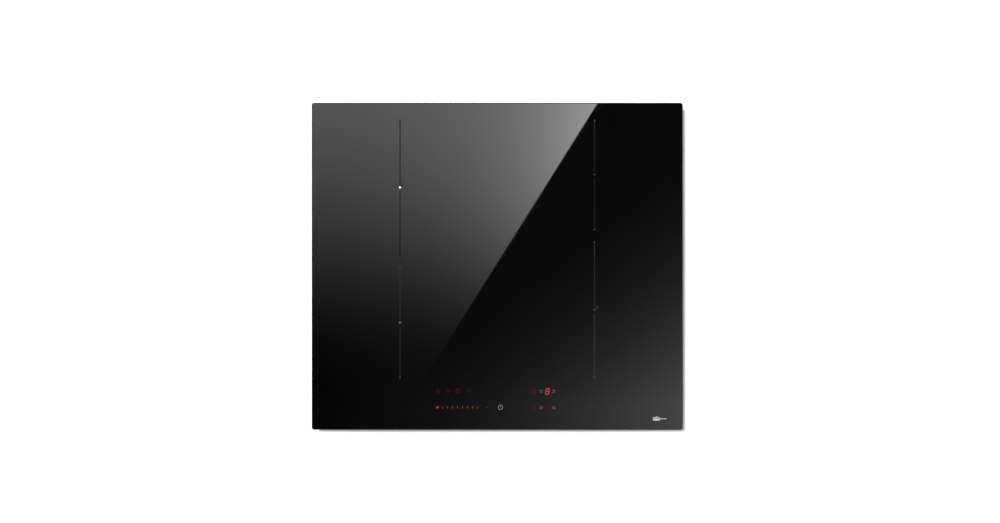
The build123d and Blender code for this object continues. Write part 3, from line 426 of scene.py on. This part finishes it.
MATERIALS = {
    "black_glass": black_glass(),
    "seal_foam": foam(),
    "silicone": moulded("silicone", (0.03, 0.03, 0.03), 0.45),
    "galvanised_steel": galvanised_steel(),
    "screw_steel": bare_metal("screw_steel", 0.24, 0.38, 0.34, scale=900, edge=0.46),
    "spring_steel": bare_metal("spring_steel", 0.13, 0.26, 0.32, (1, 1, 12), 500, edge=0.40),
    "sheet_aluminium": bare_metal("sheet_aluminium", 0.66, 0.80, 0.34, (14, 1, 1), 160, edge=0.85),
    "white_plastic": moulded("white_plastic", (0.66, 0.65, 0.60), 0.48, 1.15),
    "circuit_board": circuit_board(),
    "black_plastic": moulded("black_plastic", (0.018, 0.018, 0.019), 0.5, 2.6),
    "capacitor_plastic": moulded("capacitor_plastic", (0.03, 0.09, 0.34), 0.25, 1.6),
    "copper_wire": copper_wire(),
    "ferrite": ferrite(),
    "fibre_mat": fibre_mat(),
    "white_silicone": moulded("white_silicone", (0.74, 0.74, 0.71), 0.6, 1.1, sheen=0.2),
    "touch_foam": moulded("touch_foam", (0.05, 0.05, 0.052), 0.85, 1.4, 1600),
    "grommet_rubber": moulded("grommet_rubber", (0.012, 0.012, 0.012), 0.62, 2.2, 1200),
    "wire_cover": moulded("wire_cover", (0.22, 0.07, 0.03), 0.4, 1.3),
}

for entry in frame["record"]["subparts"]:
    node = frame["nodes"][entry["node"]]
    node.data.materials.clear()
    node.data.materials.append(MATERIALS[entry["material_slot"]])


# ---------------------------------------------------------------- springs under the coils

# Pressing a coil down shortens the gap from the support plate to its shield plate, and the springs in it
SPRING_R, SPRING_WIRE_W, SPRING_WIRE_H, SPRING_TURNS, TURN_STEPS = 4.6 * MM, 1.4 * MM, 0.8 * MM, 3, 24


def spring(bm, x, y, low, high):
    """One helix of flat wire standing at (x, y) between two heights."""
    half_w, half_h = SPRING_WIRE_W / 2, SPRING_WIRE_H / 2
    section = ((-half_w, -half_h), (half_w, -half_h), (half_w, half_h), (-half_w, half_h))
    rings, count = [], SPRING_TURNS * TURN_STEPS
    for i in range(count + 1):
        turn = 2 * math.pi * i / TURN_STEPS
        z = low + half_h + (high - low - SPRING_WIRE_H) * i / count
        across, along = math.cos(turn), math.sin(turn)
        corners = [(SPRING_R + w, z + h) for w, h in section]
        rings.append([bm.verts.new((x + r * across, y + r * along, level)) for r, level in corners])
    bm.faces.new(rings[0])
    bm.faces.new(rings[-1][::-1])
    for one, other in zip(rings, rings[1:]):
        for i in range(4):
            bm.faces.new((one[i], one[i - 1], other[i - 1], other[i]))


def coil_springs(zone):
    """A zone's four springs: they stand for the CAD node."""
    low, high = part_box(f"coil_springs_{zone}")
    inset = SPRING_R + SPRING_WIRE_W / 2
    bm = bmesh.new()
    for x in (low.x + inset, high.x - inset):
        for y in (low.y + inset, high.y - inset):
            spring(bm, x, y, low.z, high.z)
    bmesh.ops.recalc_face_normals(bm, faces=bm.faces)
    piece = new_object(f"press_springs_{zone}", bm, MATERIALS["spring_steel"])
    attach(piece, BODY)
    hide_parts(f"coil_springs_{zone}")
    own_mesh(piece)


for zone in ZONES:
    coil_springs(zone)


# ---------------------------------------------------------------- marks on the glass

# The zone inks (INK_BLACK to INK_CLEAR_GREY, INK_SOFT, INK_FAINT, INK_MID, INK_LIGHT) are copies of one print
# whose greys and mirror strengths carry painted light, shade and reflection
INK_BLACK = print_ink("ink_black", 0.001, 0.05, 1.08)
INK_DARK_GREY = print_ink("ink_dark_grey", 0.005, 0.05, 1.14)
INK_GREY = print_ink("ink_grey", 0.0082, 0.05, 1.22)
INK_PALE_GREY = print_ink("ink_pale_grey", 0.0115, 0.05, 1.30)
INK_CLEAR_GREY = print_ink("ink_clear_grey", 0.0129, 0.05, 1.45)
INK_FAINT = print_ink("ink_faint", 0.018, 0.06, 1.26)
INK_SOFT = print_ink("ink_soft", 0.034, 0.06, 1.24)
INK_KEY = print_ink("ink_key", 0.085, 0.08, 1.30)
INK_POWER = print_ink("ink_power", 0.135, 0.08, 1.30)
INK_MID = print_ink("ink_mid", 0.092, 0.08, 1.30)
INK_BADGE = print_ink("ink_badge", 0.36, 0.08, 1.30)
INK_LIGHT = print_ink("ink_light", 0.62, 0.10, 1.35)
GLOW_RED = lit_mark("glow_red", (1.0, 0.13, 0.11), 0.50)
GLOW_PINK = lit_mark("glow_pink", (1.0, 0.46, 0.53), 0.22)
GLOW_WARM = lit_mark("glow_warm", (1.0, 0.58, 0.60), 0.19)
GLOW_DIM = lit_mark("glow_dim", (1.0, 0.10, 0.22), 0.030)
GLOW_FAINT = lit_mark("glow_faint", (1.0, 0.24, 0.34), 0.010)
HALO_RED = halo("halo_red", (1.0, 0.0, 0.01), 0.075)
HALO_SLIDER = halo("halo_slider", (1.0, 0.0, 0.02), 0.013)
HALO_DIM = halo("halo_dim", (1.0, 0.03, 0.18), 0.022)
HALO_FAINT = halo("halo_faint", (1.0, 0.10, 0.25), 0.007)

# All four zones have the same print: the differences between their inks are painted light, shade and
# reflection, set to how bright each zone's part of the glass shows
# A zone's column, the Y of its mark's back end, centre dot and front end, and the inks of line, ends and dot
ZONE_MARKS = {
    "left_rear": (-ZONE_X, 232.2 * MM, 125.4 * MM, 16.6 * MM, INK_DARK_GREY, INK_BLACK, INK_LIGHT),
    "left_front": (-ZONE_X, -2.0 * MM, -89.5 * MM, -177.0 * MM, INK_PALE_GREY, INK_SOFT, INK_MID),
    "right_rear": (ZONE_X, 232.0 * MM, 145.9 * MM, 58.4 * MM, INK_GREY, INK_SOFT, INK_FAINT),
    "right_front": (ZONE_X, 38.7 * MM, -69.0 * MM, -175.9 * MM, INK_CLEAR_GREY, INK_SOFT, INK_SOFT),
}
LARGE_ZONES = ("left_rear", "right_front")
for zone, (x, back, middle, front, line_ink, end_ink, dot_ink) in ZONE_MARKS.items():
    line = Marks()
    line.bar((x, back), (x, middle + GAP_BEHIND), MARK_W)
    line.bar((x, middle - GAP_BEFORE), (x, front), MARK_W)
    line.make(f"zone_line_{zone}", line_ink)
    ends = Marks()
    for y in (back, front):
        ends.disc(x, y, END_DOT_R)
    if zone in LARGE_ZONES:
        start, end = ((x + right, middle + up) for right, up in LARGE_TICK)
        ends.bar(start, end, LARGE_TICK_W)
    ends.make(f"zone_ends_{zone}", end_ink, PRINT_RISE * 1.2)
    centre = Marks()
    centre.disc(x, middle, CENTRE_DOT_R)
    centre.make(f"zone_dot_{zone}", dot_ink)


def digit(x, y):
    """The seven bars of one display digit, leaning to the right."""
    marks, w, h = Marks(), DIGIT_W / 2, DIGIT_H / 2
    gap = SEGMENT_W * 0.62

    def lean(px, py):
        return (x + px + DIGIT_SLANT * py, y + py)

    for level in (-h, 0, h):
        marks.bar(lean(-w + gap, level), lean(w - gap, level), SEGMENT_W)
    for side in (-w, w):
        marks.bar(lean(side, gap), lean(side, h - gap), SEGMENT_W)
        marks.bar(lean(side, -h + gap), lean(side, -gap), SEGMENT_W)
    return marks


def glow_patch(name, x, y, width, height, material):
    """A rounded patch of scattered light under a lit mark."""
    reach_x, reach_y = max(width - height, 0) / 2, max(height - width, 0) / 2
    patch = Marks()
    patch.bar((x - reach_x, y - reach_y), (x + reach_x, y + reach_y), min(width, height))
    patch.make(name, material, HALO_RISE)


DIGITS = {
    "back_left": (0, BACK_ROW_Y, GLOW_DIM, HALO_DIM),
    "back_right": (1, BACK_ROW_Y, GLOW_RED, HALO_RED),
    "front_left": (0, FRONT_ROW_Y, GLOW_DIM, HALO_FAINT),
    "front_right": (1, FRONT_ROW_Y, GLOW_FAINT, HALO_FAINT),
}
for place, (column, y, light, around) in DIGITS.items():
    digit(DIGITS_X[column], y).make(f"digit_{place}", light)
    glow_patch(f"digit_halo_{place}", DIGITS_X[column], y, DIGIT_W + DIGIT_HALO, DIGIT_H + DIGIT_HALO, around)


# The key symbols, each drawn around (x, y)


def lock_key(marks, x, y):
    marks.frame(x, y - 1.2 * MM, 4.4 * MM, 3.4 * MM, 0.8 * MM)
    marks.arc(x, y + 0.9 * MM, 1.6 * MM, 0.8 * MM, 0, 180, 20)


def pause_key(marks, x, y):
    for side in (-1.3 * MM, 1.3 * MM):
        marks.bar((x + side, y - 2.4 * MM), (x + side, y + 2.4 * MM), 1.1 * MM)


def clock_key(marks, x, y):
    marks.arc(x, y, 3.1 * MM, 0.9 * MM)
    marks.bar((x, y), (x, y + 1.9 * MM), 0.7 * MM)
    marks.bar((x, y), (x + 1.3 * MM, y), 0.7 * MM)


def pan_key(marks, x, y):
    marks.frame(x - 0.8 * MM, y - 0.4 * MM, 4.4 * MM, 3.0 * MM, 0.8 * MM)
    marks.bar((x + 1.6 * MM, y + 0.9 * MM), (x + 4.2 * MM, y + 0.9 * MM), 0.8 * MM)


MODE_KEYS = {
    "lock": (lock_key, MODE_KEYS_X[0], GLOW_DIM, HALO_FAINT),
    "pause": (pause_key, MODE_KEYS_X[1], GLOW_FAINT, HALO_FAINT),
    "clock": (clock_key, MODE_KEYS_X[2], GLOW_DIM, HALO_DIM),
    "pan": (pan_key, MODE_KEYS_X[3], GLOW_FAINT, HALO_FAINT),
}
for name, (draw, x, light, around) in MODE_KEYS.items():
    key = Marks()
    draw(key, x, MODE_KEYS_Y)
    key.make(f"key_{name}", light)
    glow_patch(f"key_halo_{name}", x, MODE_KEYS_Y, *KEY_HALO, around)

# The slider: a lit starting dot, eight lit ticks and a last dim one
slider_start = Marks()
slider_start.disc(SLIDER_X - SLIDER_PITCH, SLIDER_Y, 1.6 * MM)
slider_start.make("slider_start", GLOW_PINK)
slider = Marks()
for i in range(SLIDER_TICKS):
    tick_x = SLIDER_X + i * SLIDER_PITCH
    low, high = SLIDER_Y - SLIDER_TICK_H / 2, SLIDER_Y + SLIDER_TICK_H / 2
    slider.bar((tick_x, low), (tick_x, high), SLIDER_TICK_W)
slider.make("slider_ticks", GLOW_WARM)
glow_patch("slider_halo", SLIDER_X + SLIDER_HALO_AT * SLIDER_PITCH, SLIDER_Y, *SLIDER_HALO, HALO_SLIDER)
glow_patch("slider_start_halo", SLIDER_X - SLIDER_PITCH, SLIDER_Y, *START_HALO, HALO_RED)
slider_end = Marks()
slider_end.disc(SLIDER_X + SLIDER_END_AT * SLIDER_PITCH, SLIDER_Y, 1.1 * MM)
slider_end.make("slider_end", INK_FAINT)

power = Marks()
power.arc(POWER_X, POWER_Y, POWER_R, 0.95 * MM)
power.bar((POWER_X, POWER_Y - 0.4 * MM), (POWER_X, POWER_Y + 1.7 * MM), 0.8 * MM)
power.make("power_key", INK_POWER)

# Zone keys: four squares, of which the key's own zone is filled in
CELL, CELL_OFF, OPEN_CELL, CELL_LINE = 1.9 * MM, 0.72, 0.8, 0.4 * MM
for column, x in enumerate(ZONE_KEYS_X):
    for row, y in enumerate((FRONT_ROW_Y, BACK_ROW_Y)):
        key = Marks()
        for i in range(2):
            for j in range(2):
                cx, cy = x + (2 * i - 1) * CELL * CELL_OFF, y + (2 * j - 1) * CELL * CELL_OFF
                if (i, j) == (column, row):
                    key.bar((cx - CELL / 2, cy), (cx + CELL / 2, cy), CELL, rounded=False)
                else:
                    key.frame(cx, cy, CELL * OPEN_CELL, CELL * OPEN_CELL, CELL_LINE)
        key.make(f"zone_key_{'lr'[column]}{'fb'[row]}", INK_KEY)

# A plain pan with a lid, in the front right corner
BADGE_X, BADGE_Y = 254.4 * MM, -242.5 * MM
PAN_OUTLINE = ((-6.6, -2.8), (3.8, -2.8), (4.4, 0.6), (-7.2, 0.6))
badge = Marks()
badge.outline([(BADGE_X + x * MM, BADGE_Y + y * MM) for x, y in PAN_OUTLINE])
badge.bar((BADGE_X + 4.2 * MM, BADGE_Y), (BADGE_X + 14 * MM, BADGE_Y), 1.1 * MM)
badge.bar((BADGE_X - 6.8 * MM, BADGE_Y + 2.1 * MM), (BADGE_X + 4 * MM, BADGE_Y + 2.1 * MM), 0.9 * MM)
badge.disc(BADGE_X - 1.4 * MM, BADGE_Y + 3.6 * MM, 0.8 * MM)
badge.make("corner_pictogram", INK_BADGE)


# ---------------------------------------------------------------- stage, light and camera


def plane(name, size_x, size_y, centre, material):
    bm = bmesh.new()
    for i, j in ((-1, -1), (1, -1), (1, 1), (-1, 1)):
        bm.verts.new((centre[0] + i * size_x / 2, centre[1] + j * size_y / 2, centre[2]))
    bm.faces.new(bm.verts)
    made = new_object(name, bm, material)
    return made


FLOOR_SIZE, FLOOR_Z = 80, -0.3 * MM
floor_look = Shader("floor_white")
floor_look.colour(floor_look.ramp(floor_look.noise(3, 2), (0.3, 0.84), (0.7, 0.86)))
floor_look.set(Roughness=0.9, Specular_IOR_Level=0.2)
plane("floor", FLOOR_SIZE, FLOOR_SIZE, (0, 0, FLOOR_Z), floor_look.material)

# The studio's overhead screen, which the glass mirrors. A pattern that is to show at one size on the glass
# is SCREEN_SCALE times as large on the screen.
SCREEN_HEIGHT = 5.5
SCREEN_SHIFT = SCREEN_HEIGHT / CAMERA_HEIGHT
SCREEN_SCALE = 1 + SCREEN_SHIFT
GLASS_FRESNEL = 0.0426

# The pattern, in metres and brightness as the glass shows them. At Y = 0 its slanting edge is at EDGE_X.
EDGE_SLOPE, EDGE_X, EDGE_CRISP = 0.6275, -0.0035, 700
CONE_FRONT, CONE_HALF_WAY, CONE_POWER = 0.247, 0.435, 3.86
CONE_BASE, CONE_LOBE, LOBE_WIDTH = 0.126, 0.355, 0.112
GLOW_SLOPE, GLOW_FRONT_Y, GLOW_START, GLOW_POWER, GLOW_GAIN = 1.28, -0.222, 0.047, 3.07, 0.234
BASE_START, BASE_WIDTH, BASE_LEVEL = 0.30, 0.12, 0.0012


def overhead_screen():
    """A lit cone that ends at a straight slanting edge, and a soft glow from the front right."""
    s = Shader("overhead_screen")
    place = s.node("ShaderNodeSeparateXYZ")
    s.link(s.place, place.inputs[0])
    u = s.math("DIVIDE", s.math("ADD", place.outputs["X"], CAMERA_X * SCREEN_SHIFT), SCREEN_SCALE)
    v = s.math("DIVIDE", s.math("ADD", place.outputs["Y"], CAMERA_Y * SCREEN_SHIFT), SCREEN_SCALE)
    # distance to the left of the slanting edge, along X
    edge = s.math("ADD", s.math("MULTIPLY", v, EDGE_SLOPE), EDGE_X)
    left = s.math("SUBTRACT", edge, u)
    side = s.math("MULTIPLY_ADD", left, EDGE_CRISP, 0.5, clamp=True)
    # the cone brightens towards the back, and towards its edge
    depth = s.math("MAXIMUM", s.math("ADD", v, CONE_FRONT), 0.0001)
    nearness = s.math("POWER", s.math("DIVIDE", CONE_HALF_WAY, depth), CONE_POWER)
    fall = s.math("DIVIDE", 1, s.math("ADD", 1, nearness))
    lobe = s.math("EXPONENT", s.math("DIVIDE", left, -LOBE_WIDTH))
    cone = s.math("MULTIPLY", fall, s.math("MULTIPLY_ADD", lobe, CONE_LOBE, CONE_BASE))
    cone = s.math("MULTIPLY", cone, side)
    # the glow of the front right corner, and a base that fades out to the left
    back = s.math("MULTIPLY", s.math("MAXIMUM", v, GLOW_FRONT_Y), GLOW_SLOPE)
    reach = s.math("MAXIMUM", s.math("ADD", s.math("SUBTRACT", u, back), GLOW_START), 0)
    glow = s.math("MULTIPLY", s.math("POWER", reach, GLOW_POWER), GLOW_GAIN)
    base = s.math("DIVIDE", s.math("ADD", u, BASE_START), BASE_WIDTH, clamp=True)
    glow = s.math("ADD", glow, s.math("MULTIPLY", base, BASE_LEVEL))
    total = s.math("DIVIDE", s.math("ADD", cone, glow), GLASS_FRESNEL)
    light = s.node("ShaderNodeEmission")
    s.link(total, light.inputs["Strength"])
    s.link(light.outputs[0], s.tree.nodes["Material Output"].inputs["Surface"])
    return s.material


SCREEN_SIZE = 2.0
screen_place = (0, 0, GLASS_TOP + SCREEN_HEIGHT)
screen = plane("overhead_screen", SCREEN_SIZE, SCREEN_SIZE, screen_place, overhead_screen())
screen.visible_camera = False
screen.visible_shadow = False

# The sun leans far enough for the glass not to mirror it in the camera
SUN_ENERGY, SUN_WIDTH, SUN_DIRECTION = 3.6, math.radians(6.2), Vector((0.140, -0.118, -1))
sun = bpy.data.lights.new("key_sun", "SUN")
sun.energy, sun.angle = SUN_ENERGY, SUN_WIDTH
sun_object = bpy.data.objects.new("key_sun", sun)
sun_object.rotation_euler = SUN_DIRECTION.to_track_quat("-Z", "Y").to_euler()
bpy.context.collection.objects.link(sun_object)

world = bpy.data.worlds.new("studio")
bpy.context.scene.world = world
world.use_nodes = True
WALL_NORMAL, WALL_EDGE = (0.66, 0.60, 0.28), (0.072, 0.080)
WALL_HEIGHTS = ((0.08, 0.0), (0.30, 1.0), (0.75, 0.0))
WALL_LIGHT, AMBIENT_LIGHT, BACKDROP_WHITE = 0.75, 0.42, 1.1


def studio_walls(tree):
    """White to look at; for the light it gives, dimmer, with one bright wall that ends at a slanting edge."""
    def node(kind, **settings):
        made = tree.nodes.new(kind)
        for key, value in settings.items():
            setattr(made, key, value)
        return made

    toward = node("ShaderNodeTexCoord").outputs["Generated"]
    parts = node("ShaderNodeSeparateXYZ")
    tree.links.new(toward, parts.inputs[0])
    # the bright wall stands where X + Y, leaning with the height, is above zero
    lean = node("ShaderNodeVectorMath", operation="DOT_PRODUCT")
    lean.inputs[1].default_value = WALL_NORMAL
    tree.links.new(toward, lean.inputs[0])
    wall = node("ShaderNodeMapRange", interpolation_type="SMOOTHSTEP")
    wall.inputs["From Min"].default_value, wall.inputs["From Max"].default_value = WALL_EDGE
    tree.links.new(lean.outputs["Value"], wall.inputs["Value"])
    # it fades out upwards and towards the floor
    height = node("ShaderNodeValToRGB")
    height.color_ramp.elements.new(0.5)
    for element, (at, grey) in zip(height.color_ramp.elements, WALL_HEIGHTS):
        element.position, element.color = at, (grey, grey, grey, 1)
    tree.links.new(parts.outputs["Z"], height.inputs["Fac"])
    lit = node("ShaderNodeMath", operation="MULTIPLY")
    tree.links.new(wall.outputs["Result"], lit.inputs[0])
    tree.links.new(height.outputs["Color"], lit.inputs[1])
    glow = node("ShaderNodeMath", operation="MULTIPLY_ADD")
    glow.inputs[1].default_value, glow.inputs[2].default_value = WALL_LIGHT, AMBIENT_LIGHT
    tree.links.new(lit.outputs[0], glow.inputs[0])
    seen = node("ShaderNodeMix", data_type="FLOAT")
    seen.inputs[3].default_value = BACKDROP_WHITE
    tree.links.new(node("ShaderNodeLightPath").outputs["Is Camera Ray"], seen.inputs[0])
    tree.links.new(glow.outputs[0], seen.inputs[2])
    tree.links.new(seen.outputs[0], tree.nodes["Background"].inputs["Strength"])
    tree.nodes["Background"].inputs["Color"].default_value = (1, 1, 1, 1)


studio_walls(world.node_tree)

camera = bpy.data.cameras.new("camera")
camera.lens, camera.sensor_width = CAMERA_LENS, CAMERA_SENSOR
camera.clip_end = 100
camera_object = bpy.data.objects.new("camera", camera)
camera_object.location = (CAMERA_X, CAMERA_Y, GLASS_TOP + CAMERA_HEIGHT)
bpy.context.collection.objects.link(camera_object)
bpy.context.scene.camera = camera_object
bpy.context.scene.view_settings.view_transform = "Standard"
